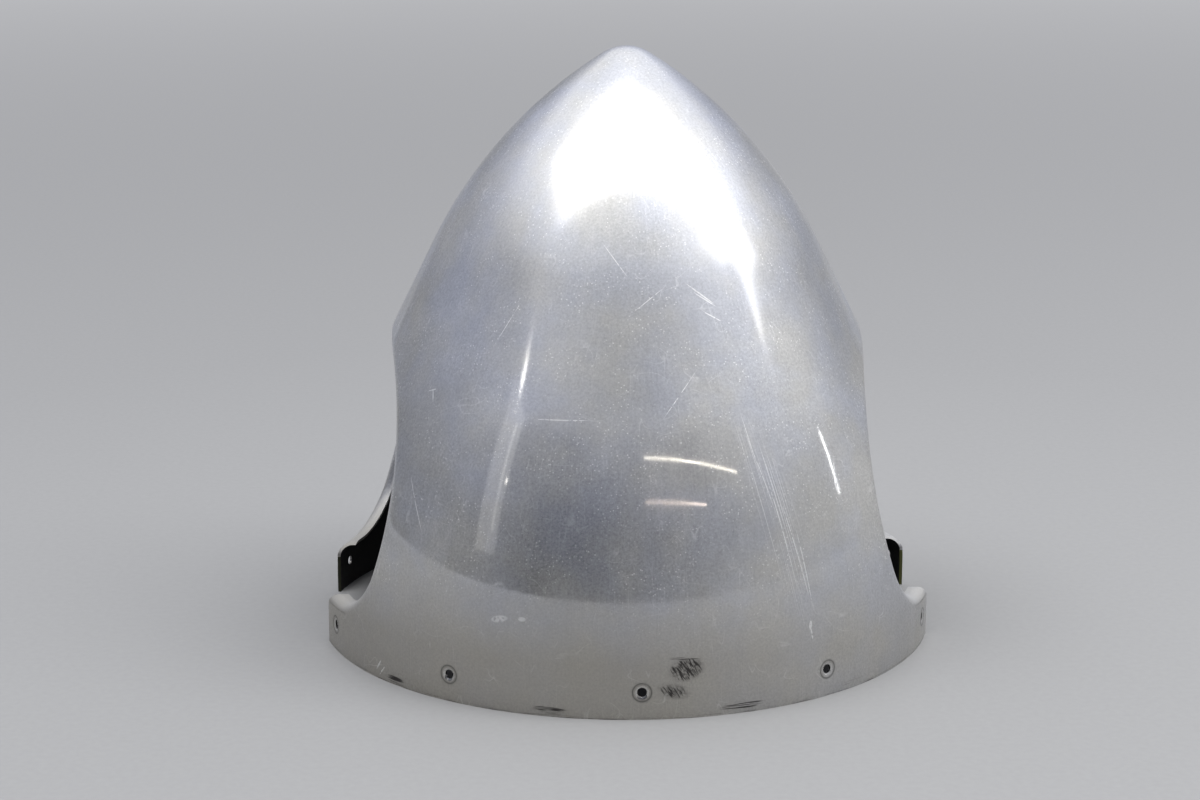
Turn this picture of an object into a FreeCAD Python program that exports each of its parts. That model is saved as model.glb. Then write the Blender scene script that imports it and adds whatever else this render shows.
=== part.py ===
"""Propeller spinner for two blades: a spun sheet dome that stands nose-up on its open rim.

One piece, so one solid.  Lengths in millimetres, angles in degrees, +Z up, the rim on Z = 0
and the spin axis on Z.  The blades leave along +X and -X; the two screw panels face -Y and +Y.
"""
import FreeCAD, Part
import math
import os

NODE = "spinner_dome"

# the dome's outside, from the rim up to the nose
BASE_RADIUS = 171.5         # outside radius at the rim
BAND_HEIGHT = 11.5          # straight band above the rim
BELLY_RADIUS = 308.0        # bow of the belly above the band
FLANK_ANGLE = 26.2          # lean of the straight flank away from the axis direction
FLANK_TOP = 215.0           # height at which the straight flank ends
FORE_RADIUS = 257.0         # bow of the fore end above the flank
NOSE_RADIUS = 23.4          # ball of the nose
WALL = 1.6                  # sheet thickness

# the two blade cutouts, drawn as seen along the blades
CUTOUT_RADIUS = 88.4        # round part of the cutout
CUTOUT_HEIGHT = 71.2        # height of its centre
EAR_TOP = 29.0              # height of the ears left either side of the slot
CUTOUT_CORNER = 30.0        # rounding where the round part runs onto the ears
SLOT_WIDTH = 86.0           # gap between the ears at the rim
EAR_CORNER = 8.0            # rounding of the ears' free corners

# the edge rolled inwards round each cutout
LIP_BEND = 7.0              # outside radius of the roll
LIP_DEPTH = 9.0             # how far the lip reaches in from the outside of the sheet

# the screw holes, on each panel
SCREW_RADIUS = 2.45
SCREW_HEIGHT = 14.6
SCREW_ANGLES = (-70.0, -35.0, 0.0, 35.0, 70.0)      # from the middle of the panel
PANEL_ANGLES = (-90.0, 90.0)                        # middles of the two panels, from +X
SINK_RADIUS = 3.5           # mouth of the countersink
SINK_DEPTH = 0.6

SEAM_ANGLE = -72.5          # where the turned surfaces close, clear of cutouts and holes
CLEAR = 5.0                 # how far cutting tools stand past what they cut
TOUCH = 1e-3                # distance at which an edge counts as lying on a surface


def on_arc(centre, radius, angle):
    """Point of the profile plane on an arc, at an angle up from the outward direction."""
    turn = math.radians(angle)
    return FreeCAD.Vector(centre.x + radius * math.cos(turn), 0, centre.z + radius * math.sin(turn))


def arc_edge(centre, radius, start, end):
    """Arc of the profile plane between two angles."""
    middle = on_arc(centre, radius, (start + end) / 2)
    return Part.Arc(on_arc(centre, radius, start), middle, on_arc(centre, radius, end)).toShape()


def arc_centres():
    """Centres of the belly, fore and nose arcs, and the angle at which fore end meets nose."""
    belly = FreeCAD.Vector(BASE_RADIUS - BELLY_RADIUS, 0, BAND_HEIGHT)
    flank_foot = on_arc(belly, BELLY_RADIUS, FLANK_ANGLE)
    rise = FLANK_TOP - flank_foot.z
    lean = rise * math.tan(math.radians(FLANK_ANGLE))
    flank_top = FreeCAD.Vector(flank_foot.x - lean, 0, FLANK_TOP)
    fore = on_arc(flank_top, -FORE_RADIUS, FLANK_ANGLE)
    reach = math.sqrt((FORE_RADIUS - NOSE_RADIUS) ** 2 - fore.x ** 2)
    nose = FreeCAD.Vector(0, 0, fore.z + reach)
    return belly, fore, nose, math.degrees(math.atan2(reach, -fore.x))


def dome(depth, foot):
    """Solid inside the surface that lies depth under the dome's outside, from height foot up."""
    belly, fore, nose, meet = arc_centres()
    rim = FreeCAD.Vector(BASE_RADIUS - depth, 0, foot)
    arcs = [arc_edge(belly, BELLY_RADIUS - depth, 0, FLANK_ANGLE),
            arc_edge(fore, FORE_RADIUS - depth, FLANK_ANGLE, meet),
            arc_edge(nose, NOSE_RADIUS - depth, meet, 90)]
    ends = [(edge.valueAt(edge.FirstParameter), edge.valueAt(edge.LastParameter)) for edge in arcs]
    axis_foot = FreeCAD.Vector(0, 0, foot)
    outline = Part.Wire([Part.makeLine(axis_foot, rim),
                         Part.makeLine(rim, ends[0][0]), arcs[0],
                         Part.makeLine(ends[0][1], ends[1][0]), arcs[1], arcs[2],
                         Part.makeLine(ends[2][1], axis_foot)])
    solid = Part.Face(outline).revolve(FreeCAD.Vector(), FreeCAD.Vector(0, 0, 1), 360)
    solid.rotate(FreeCAD.Vector(), FreeCAD.Vector(0, 0, 1), SEAM_ANGLE)
    return solid


def bar(width, bottom, top):
    """Box along X, centred on the axis, wide enough to pass through the whole dome."""
    length = 2 * (BASE_RADIUS + CLEAR)
    corner = FreeCAD.Vector(-length / 2, -width / 2, bottom)
    return Part.makeBox(length, width, top - bottom, corner)


def along_x(shape):
    """Straight edges of a bar that run along X."""
    return [edge for edge in shape.Edges
            if abs(edge.tangentAt(edge.FirstParameter).x) > 1 - TOUCH and len(edge.Vertexes) == 2]


def cutout_bar(growth):
    """Through-tool for the round part of both cutouts, its outline grown by growth."""
    length = 2 * (BASE_RADIUS + CLEAR)
    radius = CUTOUT_RADIUS + growth
    start = FreeCAD.Vector(-length / 2, 0, CUTOUT_HEIGHT)
    round_bar = Part.makeCylinder(radius, length, start, FreeCAD.Vector(1, 0, 0), 360)
    bottom = EAR_TOP - growth
    upper = round_bar.common(bar(2 * radius, bottom, CUTOUT_HEIGHT + radius + CLEAR))
    corners = [edge for edge in along_x(upper) if abs(edge.CenterOfMass.z - bottom) < TOUCH]
    return upper.makeFillet(CUTOUT_CORNER + growth, corners)


def slot_bar():
    """Through-tool for the slots between the ears, flared to round the ears' corners."""
    top = EAR_TOP + CLEAR
    slot = bar(SLOT_WIDTH, -CLEAR, top)
    flare = bar(SLOT_WIDTH + 2 * EAR_CORNER, EAR_TOP - EAR_CORNER, top)
    length = 2 * (BASE_RADIUS + CLEAR)
    for side in (-1, 1):
        start = FreeCAD.Vector(-length / 2, side * (SLOT_WIDTH / 2 + EAR_CORNER), EAR_TOP - EAR_CORNER)
        flare = flare.cut(Part.makeCylinder(EAR_CORNER, length, start, FreeCAD.Vector(1, 0, 0), 360))
    return slot.fuse(flare)


def rolled(solid, tool, radius):
    """Solid with the tool cut through it and the mouths of the cut rounded over."""
    bitten = solid.cut(tool)
    skin, wall = solid.Shells[0], tool.Shells[0]
    mouths = []
    for edge in bitten.Edges:
        middle = Part.Vertex(edge.valueAt((edge.FirstParameter + edge.LastParameter) / 2))
        if middle.distToShape(skin)[0] < TOUCH and middle.distToShape(wall)[0] < TOUCH:
            mouths.append(edge)
    return bitten.makeFillet(radius, mouths)


def screw_tool(panel, angle):
    """Radial drill with its countersink for one screw hole."""
    turn = math.radians(panel + angle)
    inward = FreeCAD.Vector(-math.cos(turn), -math.sin(turn), 0)
    surface = FreeCAD.Vector(0, 0, SCREW_HEIGHT) - inward * surface_radius(SCREW_HEIGHT)
    drill = Part.makeCylinder(SCREW_RADIUS, 2 * CLEAR, surface - inward * CLEAR, inward)
    slope = (SINK_RADIUS - SCREW_RADIUS) / SINK_DEPTH
    mouth = SINK_RADIUS + slope * SINK_DEPTH
    sink = Part.makeCone(mouth, SCREW_RADIUS, 2 * SINK_DEPTH, surface - inward * SINK_DEPTH, inward)
    return drill.fuse(sink)


def surface_radius(height):
    """Outside radius of the dome at a height on its band or belly."""
    climb = max(height - BAND_HEIGHT, 0)
    return BASE_RADIUS - BELLY_RADIUS + math.sqrt(BELLY_RADIUS ** 2 - climb ** 2)


def spinner():
    """The whole dome."""
    outside = rolled(dome(0, 0), cutout_bar(0), LIP_BEND)
    inside = rolled(dome(WALL, -CLEAR), cutout_bar(WALL), LIP_BEND - WALL)
    shell = outside.cut(inside).cut(dome(LIP_DEPTH, -CLEAR)).cut(slot_bar())
    for panel in PANEL_ANGLES:
        for angle in SCREW_ANGLES:
            shell = shell.cut(screw_tool(panel, angle))
    return shell.removeSplitter().Solids[0]


os.makedirs("parts", exist_ok=True)
part = spinner()
part.exportStep("parts/" + NODE + ".step")
box = part.BoundBox
print(NODE, "valid", part.isValid(), "volume mm3", round(part.Volume),
      "size", round(box.XLength, 2), round(box.YLength, 2), round(box.ZLength, 2))
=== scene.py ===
"""Looks of the propeller spinner: a spun aluminium dome, hazily polished outside and black inside.

The dome is one sheet, made by one Geometry Nodes tree from the same sizes as the solid. Metres, +Z up,
the rim on Z = 0 and the spin axis on Z. The blades leave along +X and -X.
"""
import bpy
import math
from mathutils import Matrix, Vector


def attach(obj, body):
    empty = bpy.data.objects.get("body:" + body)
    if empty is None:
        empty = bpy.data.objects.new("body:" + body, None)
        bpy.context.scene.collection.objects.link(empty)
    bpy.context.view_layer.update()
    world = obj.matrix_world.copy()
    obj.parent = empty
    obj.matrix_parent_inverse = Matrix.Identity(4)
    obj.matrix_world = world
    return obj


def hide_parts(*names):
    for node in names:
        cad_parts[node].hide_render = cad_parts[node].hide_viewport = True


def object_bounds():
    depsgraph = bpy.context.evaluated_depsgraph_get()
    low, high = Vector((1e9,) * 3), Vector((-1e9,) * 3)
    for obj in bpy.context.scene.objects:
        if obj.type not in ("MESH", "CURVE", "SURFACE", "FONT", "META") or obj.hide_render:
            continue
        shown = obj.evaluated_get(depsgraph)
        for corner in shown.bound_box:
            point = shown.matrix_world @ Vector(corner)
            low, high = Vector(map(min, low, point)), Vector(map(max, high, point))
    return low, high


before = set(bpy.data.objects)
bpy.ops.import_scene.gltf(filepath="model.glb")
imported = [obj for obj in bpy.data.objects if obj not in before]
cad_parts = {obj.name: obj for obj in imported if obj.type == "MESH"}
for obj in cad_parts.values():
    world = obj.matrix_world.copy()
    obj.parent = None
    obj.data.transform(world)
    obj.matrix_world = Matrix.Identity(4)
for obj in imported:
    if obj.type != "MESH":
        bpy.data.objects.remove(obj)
cad_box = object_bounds()

NODE = "spinner_dome"
MM = 0.001

# the dome's sizes in metres and radians, each an input of its Geometry Nodes tree
SIZES = {
    "Base Radius": 171.5 * MM,
    "Band Height": 11.5 * MM,
    "Belly Radius": 308.0 * MM,
    "Flank Angle": math.radians(26.2),
    "Flank Top": 215.0 * MM,
    "Fore Radius": 257.0 * MM,
    "Nose Radius": 23.4 * MM,
    "Wall": 1.6 * MM,
    "Cutout Radius": 88.4 * MM,
    "Cutout Height": 71.2 * MM,
    "Ear Top": 29.0 * MM,
    "Cutout Corner": 30.0 * MM,
    "Slot Width": 86.0 * MM,
    "Ear Corner": 8.0 * MM,
    "Lip Bend": 7.0 * MM,
    "Lip Depth": 9.0 * MM,
    "Screw Radius": 2.45 * MM,
    "Screw Height": 14.6 * MM,
    "Screw Pitch": math.radians(35.0),
    "Sink Radius": 3.5 * MM,
    "Sink Depth": 0.6 * MM,
}
SCREWS_PER_PANEL = 5
QUARTER = math.pi / 2

# how finely each patch of a quarter of the dome is divided
COLUMNS = 56
BAND_ROWS = 6
CUTOUT_ROWS = 84
NOSE_ROWS = 52
ROLL_COLUMNS = 20
NOSE_CROWDING = 1.6         # how much closer the rows lie towards the nose
LEDGE_SHARE = 0.2           # where the rows pass from the ear's top onto the cutout's corner
CORNER_SHARE = 0.37         # and from its corner onto its round part
DRILL_SIDES = 40
CUTTER_ROWS = 89            # rows up the slot cutter's sides
CUTTER_LENGTH = 2.2         # its length as a share of the base radius
CUTTER_RISE = 1.2           # its top as a share of the ears' height
SQUARE_ON = 0.9             # how squarely a face looks along Y to count as a slot's side
SHARP_EDGE = math.radians(38.0)
WELD = 0.012 * MM


class Value:
    """A socket of a node tree. Arithmetic on it adds Math nodes, and node() adds any other node."""

    def __init__(self, tree, socket=None):
        self.tree, self.socket = tree, socket

    def node(self, kind, settings=None, inputs=None, output=0):
        """Adds a node, with its settings first and then the values or links of its sockets."""
        made = self.tree.nodes.new(kind)
        for name, setting in (settings or {}).items():
            if name == "stops":
                set_stops(made.color_ramp, setting)
            else:
                setattr(made, name, setting)
        for name, given in (inputs or {}).items():
            for one in given if isinstance(given, list) else [given]:
                if isinstance(one, Value):
                    self.tree.links.new(one.socket, made.inputs[name])
                else:
                    made.inputs[name].default_value = one
        return Value(self.tree, made.outputs[output] if made.outputs else None)

    def out(self, name):
        """Another output of the node that this one comes from."""
        return Value(self.tree, self.socket.node.outputs[name])

    def math(self, operation, *operands):
        return self.node("ShaderNodeMath", {"operation": operation}, dict(enumerate(operands)))

    def __add__(self, other):
        return self.math("ADD", self, other)

    def __sub__(self, other):
        return self.math("SUBTRACT", self, other)

    def __rsub__(self, other):
        return self.math("SUBTRACT", other, self)

    def __mul__(self, other):
        return self.math("MULTIPLY", self, other)

    def __truediv__(self, other):
        return self.math("DIVIDE", self, other)

    def __pow__(self, other):
        return self.math("POWER", self, other)

    def __neg__(self):
        return self.math("MULTIPLY", self, -1.0)

    __radd__, __rmul__ = __add__, __mul__

    def vector_math(self, operation, other, output=0):
        return self.node("ShaderNodeVectorMath", {"operation": operation}, {0: self, 1: other}, output)

    def scaled(self, factor):
        return self.node("ShaderNodeVectorMath", {"operation": "SCALE"}, {0: self, "Scale": factor})


def set_stops(colour_ramp, stops):
    """Gives a colour ramp its stops, as pairs of position and colour."""
    while len(colour_ramp.elements) < len(stops):
        colour_ramp.elements.new(0.5)
    for element, (position, colour) in zip(colour_ramp.elements, stops):
        element.position = position
        element.color = (*colour, 1)


def sqrt(value):
    return value.math("SQRT", value)


def sin(value):
    return value.math("SINE", value)


def cos(value):
    return value.math("COSINE", value)


def smaller(value, other):
    return value.math("MINIMUM", value, other)


def larger(value, other):
    return value.math("MAXIMUM", value, other)


def arcsin(value):
    return value.math("ARCSINE", value)


def arccos(value):
    return value.math("ARCCOSINE", value)


def below(value, limit):
    """1 where the value is less than the limit, and 0 elsewhere."""
    return value.math("LESS_THAN", value, limit)


def between(value, low, high):
    return smaller(larger(value, low), high)


def ramp(value, low, high):
    """0 below low, 1 above high, and straight between."""
    return between((value - low) / (high - low), 0, 1)


def fall(value, low, high):
    """1 below low, 0 above high, and straight between."""
    return 1 - ramp(value, low, high)


def blend(low, high, share):
    """low where share is 0, high where it is 1."""
    return low + (high - low) * share


def vector(x, y, z):
    maker = next(part for part in (x, y, z) if isinstance(part, Value))
    return maker.node("ShaderNodeCombineXYZ", {}, {0: x, 1: y, 2: z})


def parts_of(position):
    """The x, y and z of a vector."""
    split = position.node("ShaderNodeSeparateXYZ", {}, {0: position})
    return split, split.out("Y"), split.out("Z")


class DomeShape:
    """The dome's surfaces as formulas on a tree's inputs, for a patch's u and v from 0 to 1."""

    def __init__(self, size, u, v):
        self.size, self.u, self.v = size, u, v
        self.lean = size["Flank Angle"]
        self.lean_sin, self.lean_cos = sin(self.lean), cos(self.lean)
        self.belly_centre = size["Base Radius"] - size["Belly Radius"]
        flank_foot = size["Band Height"] + size["Belly Radius"] * self.lean_sin
        flank_length = (size["Flank Top"] - flank_foot) / self.lean_cos
        flank_top_radius = (self.belly_centre + size["Belly Radius"] * self.lean_cos
                            - flank_length * self.lean_sin)
        fore_centre = flank_top_radius - size["Fore Radius"] * self.lean_cos
        self.meet = arccos(-fore_centre / (size["Fore Radius"] - size["Nose Radius"]))
        self.belly_end = size["Band Height"] + size["Belly Radius"] * self.lean
        self.flank_end = self.belly_end + flank_length
        self.fore_end = self.flank_end + size["Fore Radius"] * (self.meet - self.lean)
        self.nose_end = self.fore_end + size["Nose Radius"] * (QUARTER - self.meet)
        self.set_cutout()
        self.set_stations()

    def set_cutout(self):
        """The cutout's tangent points, and the middle line of the roll round it, which v follows."""
        size = self.size
        drop = size["Cutout Height"] - size["Ear Top"] - size["Cutout Corner"]
        reach = size["Cutout Radius"] - size["Cutout Corner"]
        self.corner_y = sqrt(reach * reach - drop * drop)
        self.corner_turn = arcsin(drop / reach)
        self.line = self.roll_line(self.v)
        self.lowest = self.contact_run(self.roll_line(self.v * 0))
        self.highest = self.contact_run(self.roll_line(self.v * 0 + 1))
        _, y, z, slope, turn = self.line
        self.line_azimuth = y.math("ARCTAN2", y, self.line[0])
        self.outward = vector(cos(slope) * cos(self.line_azimuth), cos(slope) * sin(self.line_azimuth),
                              sin(slope))
        self.inward = vector(0.0, -cos(turn), -sin(turn))
        self.whole_bend = arccos(self.outward.vector_math("DOT_PRODUCT", self.inward, "Value"))

    def set_stations(self):
        """Azimuth, slope, radius and height of the outside over each of the quarter's skin patches."""
        across = self.u * QUARTER
        beside = blend(self.contact_run(self.line), blend(self.lowest, self.highest, self.v), self.u)
        climb = 1 - (1 - self.v) ** NOSE_CROWDING
        above = blend(self.highest, self.nose_end, climb)
        self.rim = (across, *self.slope_and_place(self.v * 0))
        self.stations = [
            (BAND_ROWS, across, *self.slope_and_place(self.v * self.lowest)),
            (CUTOUT_ROWS, blend(self.line_azimuth, QUARTER, self.u), *self.slope_and_place(beside)),
            (NOSE_ROWS, across, *self.slope_and_place(above))]

    def slope_and_place(self, run):
        """Slope, radius and height of the outside at a distance run along the profile from the rim."""
        size = self.size
        belly = between((run - size["Band Height"]) / size["Belly Radius"], 0, self.lean)
        flank = between(run - self.belly_end, 0, self.flank_end - self.belly_end)
        fore_turn, nose_turn = self.meet - self.lean, QUARTER - self.meet
        fore = self.lean + between((run - self.flank_end) / size["Fore Radius"], 0, fore_turn)
        nose = self.meet + between((run - self.fore_end) / size["Nose Radius"], 0, nose_turn)
        radius = (self.belly_centre + size["Belly Radius"] * cos(belly) - flank * self.lean_sin
                  + size["Fore Radius"] * (cos(fore) - self.lean_cos)
                  + size["Nose Radius"] * (cos(nose) - cos(self.meet)))
        height = (smaller(run, size["Band Height"]) + size["Belly Radius"] * sin(belly)
                  + flank * self.lean_cos + size["Fore Radius"] * (sin(fore) - self.lean_sin)
                  + size["Nose Radius"] * (sin(nose) - sin(self.meet)))
        return belly + fore - self.lean + nose - self.meet, radius, height

    def skin(self, azimuth, slope, radius, height, depth):
        """Point that lies depth under the outside."""
        radius = larger(radius - depth * cos(slope), 0)
        return vector(radius * cos(azimuth), radius * sin(azimuth), height - depth * sin(slope))

    def radius_at(self, height, depth):
        """Radius at a height of the belly or flank, depth under the outside."""
        size = self.size
        bow = size["Belly Radius"] - depth
        rise = between((height - size["Band Height"]) / bow, 0, self.lean_sin)
        above = larger(height - size["Band Height"] - bow * self.lean_sin, 0)
        flank = above * (self.lean_sin / self.lean_cos)
        return self.belly_centre + bow * sqrt(1 - rise * rise) - flank

    def roll_line(self, share):
        """Middle line of the roll round the cutout: x, y, z, slope, and the outline's turn."""
        size = self.size
        bend = size["Lip Bend"]
        on_round = 1 - below(share, CORNER_SHARE)
        corner_part = between((share - LEDGE_SHARE) / (CORNER_SHARE - LEDGE_SHARE), 0, 1)
        round_part = between((share - CORNER_SHARE) / (1 - CORNER_SHARE), 0, 1)
        turn = (-QUARTER + (QUARTER - self.corner_turn) * corner_part
                + (QUARTER + self.corner_turn) * round_part)
        centre_y = self.corner_y * smaller(share / LEDGE_SHARE, 1) * (1 - on_round)
        centre_z = blend(size["Ear Top"] + size["Cutout Corner"], size["Cutout Height"], on_round)
        radius = blend(size["Cutout Corner"], size["Cutout Radius"], on_round) + bend
        y, z = centre_y + radius * cos(turn), centre_z + radius * sin(turn)
        dome_radius = self.radius_at(z, bend)
        rise = between((z - size["Band Height"]) / (size["Belly Radius"] - bend), 0, self.lean_sin)
        return sqrt(dome_radius * dome_radius - y * y), y, z, arcsin(rise), turn

    def contact_run(self, line):
        """Distance along the profile at which the roll leaves the dome's surface."""
        size = self.size
        z, slope = line[2], line[3]
        foot = size["Band Height"] + (size["Belly Radius"] - size["Lip Bend"]) * self.lean_sin
        return size["Band Height"] + size["Belly Radius"] * slope + larger(z - foot, 0) / self.lean_cos

    def roll(self, across, depth):
        """Point of the rolled edge, across from the dome's surface at 0 to the lip's end at 1.

        The first half of across follows the bend, and the second half the lip's straight end, if any.
        """
        size = self.size
        x, y, z, _, turn = self.line
        radius = size["Lip Bend"] - depth
        bend = smaller(self.whole_bend, arccos((size["Lip Bend"] - size["Lip Depth"]) / radius))
        angle = bend * smaller(across * 2, 1)
        stretch = sin(self.whole_bend)
        swept = self.outward.scaled(sin(self.whole_bend - angle) / stretch).vector_math(
            "ADD", self.inward.scaled(sin(angle) / stretch))
        edge_y, edge_z = y - radius * cos(turn), z - radius * sin(turn)
        deep = self.radius_at(edge_z, size["Lip Depth"])
        straight = larger(x - sqrt(deep * deep - edge_y * edge_y), 0)
        straight = straight * below(self.whole_bend, bend + WELD)
        middle = vector(x - straight * larger(across * 2 - 1, 0), y, z)
        return middle.vector_math("ADD", swept.scaled(radius))


def grid(columns, rows, place, turned_over=False):
    """Grid of a patch, whose points lie at place, a formula on u and v."""
    flat = place.node("GeometryNodeMeshGrid", {}, {"Size X": 1.0, "Size Y": 1.0,
                                                   "Vertices X": columns + 1, "Vertices Y": rows + 1})
    shaped = place.node("GeometryNodeSetPosition", {}, {"Geometry": flat, "Position": place})
    return place.node("GeometryNodeFlipFaces", {}, {"Mesh": shaped}) if turned_over else shaped


def marked(mesh, name):
    """The mesh with its faces marked by a named attribute."""
    return mesh.node("GeometryNodeStoreNamedAttribute", {"data_type": "BOOLEAN", "domain": "FACE"},
                     {"Geometry": mesh, "Name": name, "Value": True})


def joined(*meshes):
    return meshes[0].node("GeometryNodeJoinGeometry", {}, {"Geometry": list(meshes)})


def mixed(first, second, share):
    """A vector part of the way from the first to the second."""
    return first.vector_math("ADD", second.vector_math("SUBTRACT", first).scaled(share))


def quarter_sheet(shape):
    """The patches of the quarter of the sheet in which x and y are positive."""
    outer, inner = 0.0, shape.size["Wall"]
    end = shape.u * 0 + 1
    bare = [grid(COLUMNS, rows, shape.skin(*station, outer)) for rows, *station in shape.stations]
    painted = [grid(COLUMNS, rows, shape.skin(*station, inner), True)
               for rows, *station in shape.stations]
    lip_end = mixed(shape.roll(end, outer), shape.roll(end, inner), shape.u)
    bare += [grid(ROLL_COLUMNS, CUTOUT_ROWS, shape.roll(shape.u, outer), True),
             grid(1, CUTOUT_ROWS, lip_end, True),
             grid(COLUMNS, 1, shape.skin(*shape.rim, shape.v * inner), True)]
    painted += [grid(ROLL_COLUMNS, CUTOUT_ROWS, shape.roll(shape.u, inner))]
    return joined(*bare, marked(joined(*painted), "painted"))


def whole_sheet(shape):
    """The closed sheet, from a quarter that is mirrored and then turned half round."""
    quarter = quarter_sheet(shape)
    mirrored = quarter.node("GeometryNodeTransform", {}, {
        "Geometry": quarter, "Scale": (1.0, -1.0, 1.0)})
    half = joined(quarter, quarter.node("GeometryNodeFlipFaces", {}, {"Mesh": mirrored}))
    other = half.node("GeometryNodeTransform", {}, {"Geometry": half, "Scale": (-1.0, -1.0, 1.0)})
    return half.node("GeometryNodeMergeByDistance", {}, {
        "Geometry": joined(half, other), "Distance": WELD})


def slot_cutter(maker, shape):
    """Bar through both slots, flared at the top so that it rounds the ears' corners."""
    size = shape.size
    length, foot = size["Base Radius"] * CUTTER_LENGTH, -size["Ear Corner"]
    top = size["Ear Top"] * CUTTER_RISE
    bar = maker.node("GeometryNodeMeshCube", {}, {
        "Size": (1.0, 1.0, 1.0), "Vertices X": 2, "Vertices Y": 2, "Vertices Z": CUTTER_ROWS + 1})
    x, y, z = parts_of(maker.node("GeometryNodeInputPosition"))
    height = blend(foot, top, z + 0.5)
    climb = between(height - size["Ear Top"] + size["Ear Corner"], 0, size["Ear Corner"])
    widening = size["Ear Corner"] - sqrt(size["Ear Corner"] * size["Ear Corner"] - climb * climb)
    place = vector(x * length, y * (size["Slot Width"] + widening * 2), height)
    return maker.node("GeometryNodeSetPosition", {}, {"Geometry": bar, "Position": place})


def screw_cutters(maker, shape):
    """Countersunk drills of both panels, set round the dome as instances."""
    size = shape.size
    drill = maker.node("GeometryNodeMeshCylinder", {}, {
        "Vertices": DRILL_SIDES, "Side Segments": 2, "Radius": 1.0, "Depth": 2.0})
    x, y, z = parts_of(maker.node("GeometryNodeInputPosition"))
    reach = size["Sink Radius"]
    spread = (reach - size["Screw Radius"]) / size["Sink Depth"]
    radius = size["Screw Radius"] + larger(z, 0) * reach * spread
    shaped = maker.node("GeometryNodeSetPosition", {}, {
        "Geometry": drill, "Position": vector(x * radius, y * radius, z * reach)})
    index = maker.node("GeometryNodeInputIndex")
    panel = index.math("FLOOR", index / SCREWS_PER_PANEL)
    step = index - panel * SCREWS_PER_PANEL - (SCREWS_PER_PANEL - 1) / 2
    azimuth = -QUARTER + panel * math.pi + step * size["Screw Pitch"]
    foot = shape.radius_at(size["Screw Height"], size["Sink Depth"])
    points = maker.node("GeometryNodePoints", {}, {
        "Count": 2 * SCREWS_PER_PANEL,
        "Position": vector(foot * cos(azimuth), foot * sin(azimuth), size["Screw Height"])})
    return maker.node("GeometryNodeInstanceOnPoints", {}, {
        "Points": points, "Instance": shaped, "Rotation": vector(0.0, QUARTER, azimuth)})


def dome_tree(outside, inside):
    """The Geometry Nodes tree of the dome, with its sizes as named inputs."""
    tree = bpy.data.node_groups.new(NODE, "GeometryNodeTree")
    tree.interface.new_socket(name="Geometry", in_out="OUTPUT", socket_type="NodeSocketGeometry")
    for name in SIZES:
        tree.interface.new_socket(name=name, in_out="INPUT", socket_type="NodeSocketFloat")
    maker = Value(tree)
    inputs = maker.node("NodeGroupInput")
    u, v, _ = parts_of(maker.node("GeometryNodeInputPosition"))
    shape = DomeShape({name: inputs.out(name) for name in SIZES}, u + 0.5, v + 0.5)
    cutters = maker.node("GeometryNodeRealizeInstances", {}, {
        "Geometry": joined(slot_cutter(maker, shape), screw_cutters(maker, shape))})
    cut = maker.node("GeometryNodeMeshBoolean", {"operation": "DIFFERENCE", "solver": "MANIFOLD"},
                     {"Mesh 1": whole_sheet(shape), "Mesh 2": cutters})
    rounded = maker.node("GeometryNodeSetShadeSmooth", {"domain": "FACE"}, {"Geometry": cut})
    edge_angle = maker.node("GeometryNodeInputMeshEdgeAngle")
    smooth = maker.node("GeometryNodeSetShadeSmooth", {"domain": "EDGE"}, {
        "Geometry": rounded, "Shade Smooth": below(edge_angle, SHARP_EDGE)})
    painted = maker.node("GeometryNodeInputNamedAttribute", {"data_type": "BOOLEAN"},
                         {"Name": "painted"})
    _, y, _ = parts_of(maker.node("GeometryNodeInputPosition"))
    _, facing, _ = parts_of(maker.node("GeometryNodeInputNormal"))
    beside_slot = below(y.math("ABSOLUTE", y), shape.size["Slot Width"] / 2 + WELD)
    slot_side = beside_slot * (1 - below(facing.math("ABSOLUTE", facing), SQUARE_ON))
    solid = maker.node("GeometryNodeRealizeInstances", {}, {"Geometry": smooth})
    metal = maker.node("GeometryNodeSetMaterial", {}, {"Geometry": solid, "Material": outside})
    finished = maker.node("GeometryNodeSetMaterial", {}, {
        "Geometry": metal, "Selection": larger(painted, slot_side), "Material": inside})
    maker.node("NodeGroupOutput", {}, {"Geometry": finished})
    return tree


def made_by(tree, sizes, name):
    """Plain mesh object that a Geometry Nodes tree makes with these sizes."""
    carrier = bpy.data.objects.new(name + "_carrier", bpy.data.meshes.new(name + "_carrier"))
    bpy.context.scene.collection.objects.link(carrier)
    modifier = carrier.modifiers.new("shape", "NODES")
    modifier.node_group = tree
    for item in tree.interface.items_tree:
        if item.in_out == "INPUT":
            modifier[item.identifier] = sizes[item.name]
    evaluated = carrier.evaluated_get(bpy.context.evaluated_depsgraph_get())
    mesh = bpy.data.meshes.new_from_object(evaluated)
    bpy.data.objects.remove(carrier)
    mesh.name = name
    mesh.materials.pop(index=0)     # the cutters leave an empty slot before the two finishes
    piece = bpy.data.objects.new(name, mesh)
    bpy.context.scene.collection.objects.link(piece)
    return piece


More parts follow.
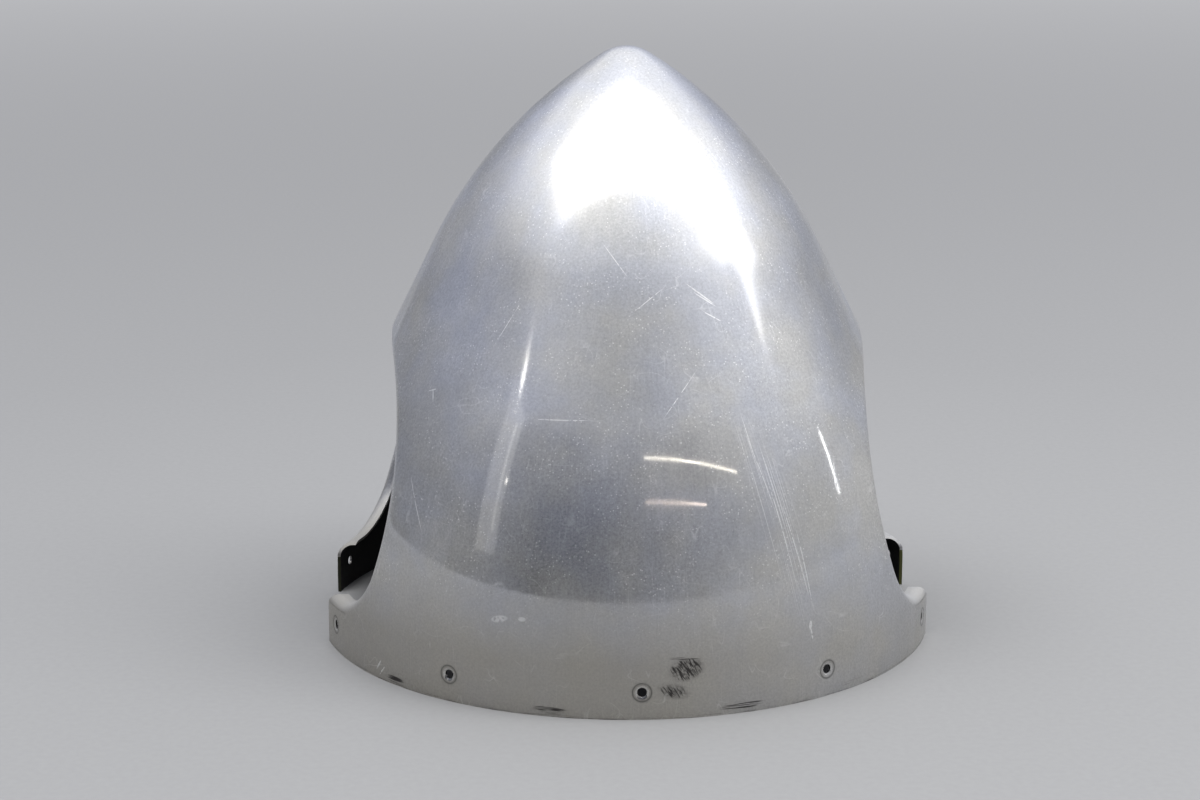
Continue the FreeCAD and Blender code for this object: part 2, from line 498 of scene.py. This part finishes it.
# marks of wear on the outside: the turn from the middle of the front panel in degrees, the height,
# half length and half width in millimetres, the tilt in degrees, and the strength
SCUFFS = [
    (7.6, 26.0, 10.5, 7.0, 12, 1.3),
    (5.4, 14.8, 10.0, 5.0, -12, 0.85),
    (17.0, 33.0, 3.0, 2.0, 0, 0.35),
]
RIM_RUBS = [
    (7.4, 31.6, 11.0, 1.2, -4, 0.9),
    (-15.8, 3.4, 14.0, 3.0, -2, 1.0),
    (17.6, 4.0, 17.0, 3.0, 3, 0.9),
    (-48.0, 3.0, 10.0, 2.6, 0, 0.95),
    (41.0, 3.5, 26.0, 1.5, 2, 0.55),
]
SCRATCHES = [
    (-16.5, 148.0, 15.0, 0.3, 2, 1.0),
    (-25.2, 48.8, 5.0, 2.0, 12, 0.75),
    (-21.0, 50.0, 2.5, 1.4, 0, 0.6),
    (31.3, 40.5, 2.6, 1.0, 80, 1.0),
    (31.5, 36.0, 3.4, 0.6, 100, 0.9),
    (-50.5, 153.0, 3.5, 0.4, 20, 1.0),
    (-49.6, 150.5, 4.0, 0.4, -60, 1.0),
    (-46.0, 97.0, 17.0, 0.3, -58, 0.8),
    (17.3, 207.0, 9.0, 0.4, -38, 1.0),
    (18.5, 204.0, 7.0, 0.35, -34, 0.8),
    (19.5, 196.0, 6.0, 0.35, -30, 0.7),
    (27.0, 92.0, 32.0, 0.4, -80, 0.5),
    (29.5, 80.0, 30.0, 0.4, -78, 0.6),
    (31.0, 70.0, 24.0, 0.4, -82, 0.5),
    (24.5, 118.0, 26.0, 0.3, -76, 0.4),
    (-52.5, 7.5, 4.0, 0.6, 55, 0.9),
    (-51.5, 5.0, 4.0, 0.5, 50, 0.8),
    (-6.0, 224.0, 12.0, 0.3, -50, 0.5),
    (3.0, 205.0, 10.0, 0.3, 35, 0.5),
    (9.0, 160.0, 16.0, 0.3, 48, 0.45),
    (-34.0, 190.0, 14.0, 0.3, 66, 0.35),
]
FINE_SCRATCHES = [
    (27.0, 92.0, 55.0, 12.0, -79, 1.0),
    (24.0, 128.0, 26.0, 8.0, -74, 0.8),
]

# tilt in degrees of the strokes that each kind of mark is made of
SCUFF_TILT = -58.0
RUB_TILT = 0.0
FINE_TILT = -79.0

# colours of the metal, darkest and lightest, where it looks cool and where it looks warm
COOL_METAL = ((0.49, 0.50, 0.535), (0.70, 0.715, 0.755))
WARM_METAL = ((0.505, 0.50, 0.485), (0.73, 0.725, 0.705))
# painted dark reflection of the floor, laid on the foot's colour
PAINTED_FOOT_REFLECTION = (0.41, 0.388, 0.34)
# bare metal, also used as a painted sheen on the upturned rolled ear tops
BARE_METAL_AND_SHEEN = (0.92, 0.92, 0.91)
RING_DIRT = (0.08, 0.08, 0.075)
# dark of rubbed dirt, also the painted shade inside the screw bores
RUBBED_DIRT_AND_BORE_SHADE = (0.04, 0.036, 0.034)

# colours of the inside: the paint, darkest and lightest, where it is rubbed, and the primer
BLACK_PAINT = ((0.006, 0.006, 0.0065), (0.022, 0.022, 0.023))
RUBBED_PAINT = (0.12, 0.12, 0.118)
PRIMER = (0.19, 0.20, 0.05)

# heights between which something on the outside fades out or comes in
FOOT_FADE = (28 * MM, 66 * MM)      # the hazy foot, and its painted dark reflection of the floor
DOTS_FADE = (30 * MM, 70 * MM)      # dots of dust
POLISH_FADE = (140 * MM, 240 * MM)  # softer reflections
HAZE_FADE = (150 * MM, 220 * MM)    # more haze


class Sheet:
    """Places on the dome for its shader: the turn from its front panel's middle, and the height."""

    def __init__(self, maker):
        self.position = maker.node("ShaderNodeTexCoord", {}, {}, "Object")
        self.x, self.y, self.height = parts_of(self.position)
        self.turn = self.x.math("ARCTAN2", self.x, -self.y)
        self.radius = sqrt(self.x * self.x + self.y * self.y)
        self.across = self.turn * SIZES["Base Radius"]
        _, _, self.facing_up = parts_of(maker.node("ShaderNodeNewGeometry", {}, {}, "Normal"))

    def noise(self, across_scale, up_scale, detail, roughness=0.55):
        """Noise on the unrolled sheet, so many grains a metre across and up it."""
        spot = vector(self.across * across_scale, self.height * up_scale, 0.0)
        return self.across.node("ShaderNodeTexNoise", {}, {
            "Vector": spot, "Scale": 1.0, "Detail": detail, "Roughness": roughness}, "Fac")

    def clouds(self, scale, detail=4.0, roughness=0.55, up_share=1.0):
        """Noise through space, so many grains a metre, and their share of that upwards."""
        spot = vector(self.x, self.y, self.height * up_share)
        return self.across.node("ShaderNodeTexNoise", {}, {
            "Vector": spot, "Scale": scale, "Detail": detail, "Roughness": roughness}, "Fac")

    def cells(self, scale):
        """Distance from the nearest of scattered points, in their own spacing."""
        return self.across.node("ShaderNodeTexVoronoi", {"feature": "F1"}, {
            "Vector": self.position, "Scale": scale}, "Distance")

    def contour(self, across_scale, up_scale):
        """Thin winding lines, like stray scratches."""
        level = self.noise(across_scale, up_scale, 1.0)
        return fall(level.math("ABSOLUTE", level - 0.5), 0.0, 0.006)

    def leaning(self, across, up, tilt):
        """Distances along and across a direction that leans by a tilt in degrees."""
        lean = math.radians(tilt)
        along = across * math.cos(lean) + up * math.sin(lean)
        return along, up * math.cos(lean) - across * math.sin(lean)

    def strokes(self, tilt, along_scale, across_scale):
        """Noise drawn out into strokes that lean by a tilt, about 1 in a stroke."""
        along, beside = self.leaning(self.across, self.height, tilt)
        spot = vector(along * along_scale, beside * across_scale, 0.0)
        grain = self.across.node("ShaderNodeTexNoise", {}, {
            "Vector": spot, "Scale": 1.0, "Detail": 2.0}, "Fac")
        return ramp(grain, 0.36, 0.64)

    def spot(self, turn, height, half_length, half_width, tilt, strength):
        """The strength in the middle of a slanting oval, falling to 0 at its edge."""
        along, beside = self.leaning((self.turn - math.radians(turn)) * self.radius,
                                     self.height - height * MM, tilt)
        along, beside = along / (half_length * MM), beside / (half_width * MM)
        return larger(1 - along * along - beside * beside, 0) * strength

    def spots(self, marks, crispness=1.0):
        """The strongest of several spots at each place, up to 1."""
        strongest, *others = [self.spot(*mark) for mark in marks]
        for other in others:
            strongest = larger(strongest, other)
        return smaller(strongest * crispness, 1)

    def screw_distance(self):
        """Distance from the nearest screw hole's axis, measured on the sheet."""
        pitch = SIZES["Screw Pitch"]
        panel = self.turn - self.turn.math("ROUND", self.turn / math.pi) * math.pi
        last = (SCREWS_PER_PANEL - 1) / 2
        step = between(panel.math("ROUND", panel / pitch), -last, last)
        along = (panel - step * pitch) * self.radius
        up = self.height - SIZES["Screw Height"]
        return sqrt(along * along + up * up)


# the Mix node's sockets for colours
COLOUR_A, COLOUR_B, COLOUR_OUT = 6, 7, 2


def colour_mix(share, low, high):
    """Colour between two colours, each a plain colour or a value."""
    low, high = [given if isinstance(given, Value) else (*given, 1.0) for given in (low, high)]
    return share.node("ShaderNodeMix", {"data_type": "RGBA"},
                      {"Factor": share, COLOUR_A: low, COLOUR_B: high}, COLOUR_OUT)


def new_material(name):
    """An empty node material, and a maker for its tree."""
    material = bpy.data.materials.new(name)
    material.use_nodes = True
    material.node_tree.nodes.clear()
    return material, Value(material.node_tree)


def scuff_marks(sheet, strokes_along):
    """Dark rubs of the foot and the rim: strokes and grime inside their spots."""
    smears = sheet.spots(SCUFFS)
    slanted = ramp(smears * sheet.strokes(SCUFF_TILT, 160.0, 1100.0), 0.22, 0.6)
    rubs = ramp(sheet.spots(RIM_RUBS) * strokes_along, 0.26, 0.6)
    grime = ramp(sheet.clouds(500.0, 3.0, 0.75), 0.38, 0.6)
    return larger(larger(slanted, rubs), smears * grime * 0.85)


def scratch_marks(sheet):
    """Bright scratches: those in the lists, broken up a little, and faint stray ones."""
    stray = larger(sheet.contour(26.0, 60.0), sheet.contour(70.0, 22.0))
    stray = stray * ramp(sheet.clouds(60.0, 2.0), 0.5, 0.62)
    scratches = sheet.spots(SCRATCHES, 2.5) * ramp(sheet.clouds(420.0, 2.0), 0.34, 0.5)
    fine = sheet.spots(FINE_SCRATCHES, 1.6) * ramp(sheet.strokes(FINE_TILT, 14.0, 1300.0), 0.75, 1.0)
    return larger(larger(scratches, stray * 0.3), fine * 0.6)


def polished_sheet():
    """Spun aluminium, polished and then hazed: a clear reflection under a soft veil, with its wear,
    and painted light: a dark floor reflection on the foot, a sheen on the rolled ear tops and shade in
    the screw bores.
    """
    material, maker = new_material("polished_sheet")
    sheet = Sheet(maker)
    clouds = sheet.clouds(14.0)
    patches = sheet.clouds(30.0, up_share=0.27)
    speckle = sheet.clouds(800.0, 2.0, 0.7)
    hairlines = sheet.noise(1500.0, 26.0, 3.0, 0.6)
    rubbed = sheet.noise(300.0, 70.0, 4.0, 0.65)
    warmth = ramp(sheet.clouds(24.0, 3.0), 0.38, 0.62)
    dots = fall(sheet.cells(480.0), 0.11, 0.24) * ramp(sheet.clouds(45.0, 3.0), 0.42, 0.58)
    dots = dots * ramp(sheet.height, *DOTS_FADE)
    strokes_along = sheet.strokes(RUB_TILT, 60.0, 1500.0)
    scuffs = scuff_marks(sheet, strokes_along)
    scratches = scratch_marks(sheet)

    # round each screw hole: its wall, its sunk mouth, a dark ring and a paler one
    away = sheet.screw_distance()
    hole, sink = SIZES["Screw Radius"], SIZES["Sink Radius"]
    # painted shade: the drilled wall of each hole darkened to near black
    painted_bore_shade = fall(away, hole - 0.05 * MM, hole + 0.1 * MM)
    sunk = fall(away, sink - 0.1 * MM, sink + 0.3 * MM)
    halo = fall(away, sink + 1.4 * MM, sink + 2.9 * MM)
    dark_ring = ramp(away, sink + 0.7 * MM, sink + 1.3 * MM)
    dark_ring = dark_ring * fall(away, sink + 1.4 * MM, sink + 2.0 * MM)

    foot = fall(sheet.height, *FOOT_FADE)
    # upward-facing parts of the foot, the rolled ear tops: more haze, and a painted sheen that
    # lightens their colour
    rolled = foot * ramp(sheet.facing_up, 0.22, 0.7)
    # darker streaks along the bottom 1.6 mm of the rim
    rim_edge_streaks = fall(sheet.height, 0.3 * MM, 1.6 * MM) * ramp(strokes_along, 0.5, 0.9)

    # haze: the share of the soft veil over the clear reflection
    haze = (0.55 + ramp(sheet.height, *HAZE_FADE) * 0.16 + foot * 0.25
            + (clouds - 0.5) * 0.7 + (patches - 0.5) * 0.4 + (speckle - 0.5) * 0.5
            + ramp(hairlines, 0.58, 0.74) * 0.18 + halo * 0.1 + dots * 0.3)
    haze = between(haze + scratches * 0.6 + scuffs * 0.5 + rolled * 0.5 - sunk, 0.08, 1.0)

    shade = 0.5 + (clouds - 0.5) * 0.8 + (rubbed - 0.5) * 0.6 + (speckle - 0.5) * 0.9
    shade = between(shade, 0, 1)
    clean = colour_mix(warmth, colour_mix(shade, *COOL_METAL), colour_mix(shade, *WARM_METAL))
    # painted reflection of the floor: the foot darker and warmer, less so on the right, where the
    # light falls brighter
    clean_with_painted_foot = colour_mix(foot * (0.75 - ramp(sheet.x, 0.0, 120 * MM) * 0.4), clean, PAINTED_FOOT_REFLECTION)
    # lighter towards bare metal at scratches, dust dots and sunk mouths, and a painted sheen on the
    # upturned rolled edges
    worn = larger(larger(scratches * 0.8, dots * 0.7), larger(rolled * 0.2, sunk * 0.35))
    bright = colour_mix(worn, clean_with_painted_foot, BARE_METAL_AND_SHEEN)
    ringed = colour_mix(dark_ring * 0.6 + halo * 0.15, bright, RING_DIRT)
    # darkened by rubbed scuffs, by streaks along the rim's bottom edge, and by painted shade in the
    # bores
    dirty_and_bore_shaded = colour_mix(larger(larger(scuffs, rim_edge_streaks * 0.6), painted_bore_shade), ringed, RUBBED_DIRT_AND_BORE_SHADE)

    relief = hairlines * 0.25 + speckle * 0.3 - scratches * 1.2 - scuffs * 0.4
    bump = maker.node("ShaderNodeBump", {}, {
        "Strength": 0.14, "Distance": 0.05 * MM, "Height": relief})
    metal = 1 - scuffs * 0.7
    clear_roughness = (0.06 + ramp(sheet.height, *POLISH_FADE) * 0.1 + (patches - 0.5) * 0.12
                       + foot * 0.08 + scuffs * 0.5)
    clear = maker.node("ShaderNodeBsdfPrincipled", {}, {
        "Base Color": dirty_and_bore_shaded, "Metallic": metal, "Normal": bump,
        "Roughness": between(clear_roughness, 0.03, 0.9)})
    veil_roughness = 0.47 + (clouds - 0.5) * 0.2 + scuffs * 0.3 + rolled * 0.3
    veil = maker.node("ShaderNodeBsdfPrincipled", {}, {
        "Base Color": dirty_and_bore_shaded, "Metallic": metal, "Normal": bump,
        "Roughness": between(veil_roughness, 0.3, 0.95)})
    surface = maker.node("ShaderNodeMixShader", {}, {0: haze, 1: clear, 2: veil})
    maker.node("ShaderNodeOutputMaterial", {}, {"Surface": surface})
    return material


def inside_paint():
    """Matte black paint, scuffed through to grey in places, with primer along the cut edges."""
    material, maker = new_material("inside_paint")
    sheet = Sheet(maker)
    grain = sheet.clouds(420.0, 4.0, 0.7)
    dust = ramp(sheet.clouds(38.0, 5.0, 0.65), 0.5, 0.75)
    rubs = ramp(sheet.noise(130.0, 45.0, 5.0, 0.7), 0.60, 0.74)
    rubs = rubs * ramp(sheet.clouds(24.0, 2.0), 0.5, 0.66)
    aside = sheet.y.math("ABSOLUTE", sheet.y) - SIZES["Slot Width"] / 2
    corner_foot = SIZES["Ear Top"] - SIZES["Ear Corner"]
    primer = fall(aside, 0.3 * MM, 1.1 * MM) * fall(sheet.height, corner_foot, corner_foot + 3 * MM)
    primer = primer * (0.1 + ramp(sheet.x, -50 * MM, 50 * MM) * 0.3)
    black = colour_mix(dust * 0.5 + (grain - 0.5) * 0.4, *BLACK_PAINT)
    worn = colour_mix(rubs * 0.6, black, RUBBED_PAINT)
    edged = colour_mix(primer, worn, PRIMER)
    bump = maker.node("ShaderNodeBump", {}, {
        "Strength": 0.25, "Distance": 0.1 * MM, "Height": grain})
    roughness = 0.62 + (grain - 0.5) * 0.25 - rubs * 0.15
    surface = maker.node("ShaderNodeBsdfPrincipled", {}, {
        "Base Color": edged, "Normal": bump, "Specular IOR Level": 0.3,
        "Roughness": between(roughness, 0.35, 0.9)})
    maker.node("ShaderNodeOutputMaterial", {}, {"Surface": surface})
    return material


# the floor: its grey, half its side in metres, and the share of its grey that it gives off far away
FLOOR_GREY = 0.37
FLOOR_HALF = 40.0
FLOOR_GLOW = 0.62
GLOW_DISTANCE = (0.7, 4.5)      # metres over which the glow comes in
PAINTED_SHADOW_SPAN = (0.84, 0.96)          # shares of the dome's radius over which the painted shadow under it fades out
# grey of the painted shadow under the dome
PAINTED_SHADOW_GREY = (0.02, 0.02, 0.02)


def floor_finish():
    """Plain pale floor that keeps its brightness far from the lamps, with a shadow painted on it under
    the dome.
    """
    material, maker = new_material("studio_floor")
    position = maker.node("ShaderNodeTexCoord", {}, {}, "Object")
    x, y, _ = parts_of(position)
    away = sqrt(x * x + y * y)
    grain = maker.node("ShaderNodeTexNoise", {}, {
        "Vector": position, "Scale": 260.0, "Detail": 3.0}, "Fac")
    open_floor = colour_mix(grain, (FLOOR_GREY * 0.95,) * 3, (FLOOR_GREY * 1.05,) * 3)
    painted_shadow = fall(away, *(share * SIZES["Base Radius"] for share in PAINTED_SHADOW_SPAN))
    # painted shadow of the dome on the floor inside its rim
    grey = colour_mix(painted_shadow * 0.8, open_floor, PAINTED_SHADOW_GREY)
    glow = colour_mix(ramp(away, *GLOW_DISTANCE), (0.0,) * 3, (FLOOR_GREY * FLOOR_GLOW,) * 3)
    surface = maker.node("ShaderNodeBsdfPrincipled", {}, {
        "Base Color": grey, "Roughness": 0.9, "Specular IOR Level": 0.2,
        "Emission Color": glow, "Emission Strength": 1.0})
    maker.node("ShaderNodeOutputMaterial", {}, {"Surface": surface})
    return material


def add_floor():
    mesh = bpy.data.meshes.new("floor")
    corners = [(x * FLOOR_HALF, y * FLOOR_HALF, 0) for x, y in ((-1, -1), (1, -1), (1, 1), (-1, 1))]
    mesh.from_pydata(corners, [], [(0, 1, 2, 3)])
    mesh.materials.append(floor_finish())
    floor = bpy.data.objects.new("floor", mesh)
    bpy.context.scene.collection.objects.link(floor)


def add_lamp(name, place, aim, width, height, radiance, colour=(1.0, 1.0, 1.0)):
    """Flat lamp of a given size that shines from place towards aim, as bright as radiance all over."""
    light = bpy.data.lights.new(name, "AREA")
    light.shape, light.size, light.size_y = "RECTANGLE", width, height
    light.energy = radiance * math.pi * width * height
    light.color = colour
    lamp = bpy.data.objects.new(name, light)
    lamp.location = place
    lamp.rotation_mode = "QUATERNION"
    lamp.rotation_quaternion = (Vector(aim) - Vector(place)).to_track_quat("-Z", "Y")
    bpy.context.scene.collection.objects.link(lamp)


# soft lamps over the dome: their height above the nose in metres, then for each its place, width and
# depth as shares of that height, and its brightness
OVERHEAD_RISE = 1.7
OVERHEAD = [
    ("overhead", 0.03, -0.2, 1.75, 0.66, 2.9),
    ("overhead_right", 1.15, -0.32, 0.5, 0.8, 2.9),
    ("overhead_far_right", 1.70, -0.3, 0.60, 0.54, 2.9),
]

# slim lamps round the dome: place, the place each faces, width, height, brightness and colour
SLIM_LAMPS = [
    ("slim_right", (2.4, -0.12, 0.62), (0.0, 0.0, 0.13), 0.024, 0.46, 9.0, (1.0, 1.0, 1.0)),
    ("slim_front", (1.15, -2.2, 1.34), (1.15, 0.0, 0.13), 1.9, 0.02, 6.0, (1.0, 0.93, 0.82)),
    ("slim_front_far", (0.83, -2.6, 1.055), (0.83, 0.0, 0.1), 1.2, 0.02, 5.0, (1.0, 0.80, 0.66)),
    ("slim_left", (-1.75, -1.3, 0.9), (0.0, 0.0, 0.13), 0.025, 0.9, 0.7, (1.0, 0.98, 0.94)),
    ("soft_left", (-1.8, -1.25, 0.85), (0.0, 0.0, 0.13), 0.34, 1.15, 0.33, (1.0, 0.98, 0.93)),
    ("spot_left", (-1.68, -1.35, 0.87), (0.0, 0.0, 0.13), 0.02, 0.05, 6.0, (1.0, 0.96, 0.88)),
    ("spot_left_top", (-1.75, -1.2, 1.5), (0.0, 0.0, 0.13), 0.045, 0.035, 12.0, (1.0, 0.96, 0.88)),
]

# the room's colours, from the horizon at 0.5 to straight up at 1
ROOM_COLOURS = [
    (0.5, (0.13, 0.13, 0.13)),
    (0.6, (0.122, 0.128, 0.150)),
    (0.7, (0.215, 0.228, 0.28)),
    (0.77, (0.31, 0.325, 0.39)),
    (0.80, (0.54, 0.55, 0.60)),
    (0.84, (0.68, 0.69, 0.72)),
    (0.9, (0.50, 0.51, 0.54)),
    (1.0, (0.40, 0.40, 0.41)),
]
RIGHT_WALL = (0.45, 0.45, 0.455)


def add_studio():
    """The soft lamps and the grey room."""
    top = Vector((0, 0, cad_box[1].z))
    for name, x, y, width, depth, radiance in OVERHEAD:
        foot = top + Vector((x, y, 0)) * OVERHEAD_RISE
        add_lamp(name, foot + Vector((0, 0, OVERHEAD_RISE)), foot,
                 width * OVERHEAD_RISE, depth * OVERHEAD_RISE, radiance)
    for lamp in SLIM_LAMPS:
        add_lamp(*lamp)

    world = bpy.data.worlds.new("room")
    world.use_nodes = True
    world.node_tree.nodes.clear()
    maker = Value(world.node_tree)
    x, y, up = parts_of(maker.node("ShaderNodeTexCoord", {}, {}, "Generated"))
    sky = maker.node("ShaderNodeValToRGB", {"stops": ROOM_COLOURS}, {"Fac": up * 0.5 + 0.5})
    rightward = ramp(x, 0.15, 0.7) * (1 - ramp(y, 0.1, 0.55) * 0.65)
    room = colour_mix(rightward * 0.6, sky, RIGHT_WALL)
    # dimmest in front, brighter at the sides, brightest behind
    strength = 0.8 + ramp(y, -0.8, -0.5) * 0.5 + ramp(y, -0.1, 0.35) * 0.75 + rightward * 0.3
    background = maker.node("ShaderNodeBackground", {}, {"Color": room, "Strength": strength})
    maker.node("ShaderNodeOutputWorld", {}, {"Surface": background})
    bpy.context.scene.world = world


CAMERA_PLACE = (-0.0720, -1.4055, 0.4762)
CAMERA_DIRECTION = (0.0398, 0.9694, -0.2423)
SENSOR_WIDTH, LENS = 36.0, 77.6     # millimetres


def add_camera():
    """Camera a little above the dome and to the left of its front panel's middle."""
    data = bpy.data.cameras.new("camera")
    data.sensor_width, data.lens = SENSOR_WIDTH, LENS
    camera = bpy.data.objects.new("camera", data)
    camera.location = CAMERA_PLACE
    camera.rotation_mode = "QUATERNION"
    camera.rotation_quaternion = Vector(CAMERA_DIRECTION).to_track_quat("-Z", "Y")
    bpy.context.scene.collection.objects.link(camera)
    bpy.context.scene.camera = camera


dome = made_by(dome_tree(polished_sheet(), inside_paint()), SIZES, "spinner")
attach(dome, "root")
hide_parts(NODE)

add_floor()
add_studio()
add_camera()
bpy.context.scene.view_settings.view_transform = "Standard"
